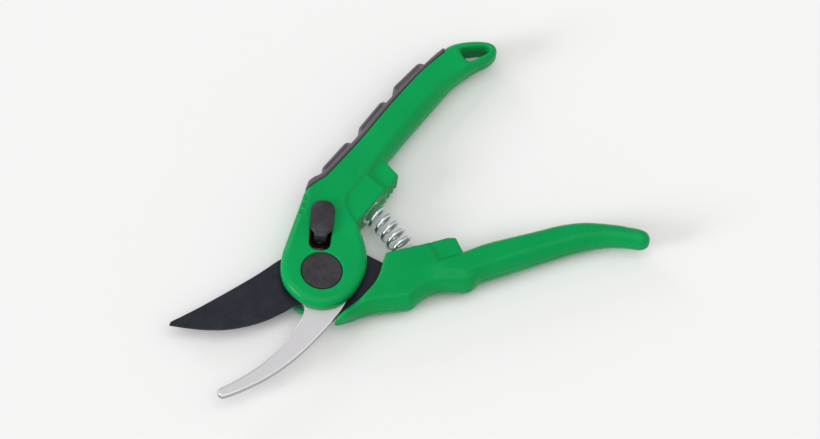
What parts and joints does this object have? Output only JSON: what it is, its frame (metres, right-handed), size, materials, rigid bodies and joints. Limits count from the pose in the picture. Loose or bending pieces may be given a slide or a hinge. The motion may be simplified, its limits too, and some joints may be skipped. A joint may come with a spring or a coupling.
{
  "type": "bypass hand pruner",
  "caption": "Hand pruner with a dark curved blade passing a steel hook, green moulded handles with a grey grip inlay, coil spring, sliding lock and hanging loop.",
  "frame": {"origin": "pivot axis where it meets the plane the tool lies on, which is the flat rear pivot cover", "axes": "+X from the pivot towards the handles, midway between them when open; +Y towards the handle with the grip inlay; +Z along the pivot axis up through the tool's thickness, out of the face with the lock button"},
  "size_m": [0.196, 0.1213, 0.0192],
  "materials": {
    "green_nylon": "moulded, fine satin grain",
    "grey_rubber": "soft matt elastomer",
    "black_nylon": "moulded, fine grain",
    "coated_steel": "low-friction dark coating, satin",
    "satin_steel": "satin ground, bright",
    "zinc_steel": "zinc plated",
    "spring_steel": "bright plated wire"
  },
  "bodies": {
    "hook_side": {"upper_front_shell": "green_nylon", "upper_rear_shell": "green_nylon", "grip_inlay": "grey_rubber", "hook": "satin_steel", "hook_pin_1": "zinc_steel", "hook_pin_2": "zinc_steel", "upper_screw_1": "zinc_steel", "upper_screw_2": "zinc_steel", "pivot_bolt": "zinc_steel", "pivot_bush": "zinc_steel", "pivot_nut": "zinc_steel", "thrust_washer": "black_nylon", "front_pivot_cap": "black_nylon", "rear_pivot_cap": "black_nylon", "return_spring": "spring_steel"},
    "blade_side": {"blade": "coated_steel", "lower_front_shell": "green_nylon", "lower_rear_shell": "green_nylon", "blade_pin_1": "zinc_steel", "blade_pin_2": "zinc_steel", "lower_screw_1": "zinc_steel", "lower_screw_2": "zinc_steel"},
    "lock_slide": {"lock_button": "black_nylon", "lock_pin": "zinc_steel", "lock_retainer": "black_nylon"}
  },
  "joints": [
    {"name": "handle_pivot", "type": "hinge", "parent": "hook_side", "child": "blade_side", "pos_m": [0, 0, 0.008], "axis": [0, 0, 1], "range_deg": [0, 35], "stiffness_Nm_per_rad": 1.2, "springref_deg": -20.05, "deforming": ["return_spring"]},
    {"name": "lock_travel", "type": "slide", "parent": "hook_side", "child": "lock_slide", "axis": [-0.6157, -0.788, 0], "range_m": [0, 0.005]}
  ]
}
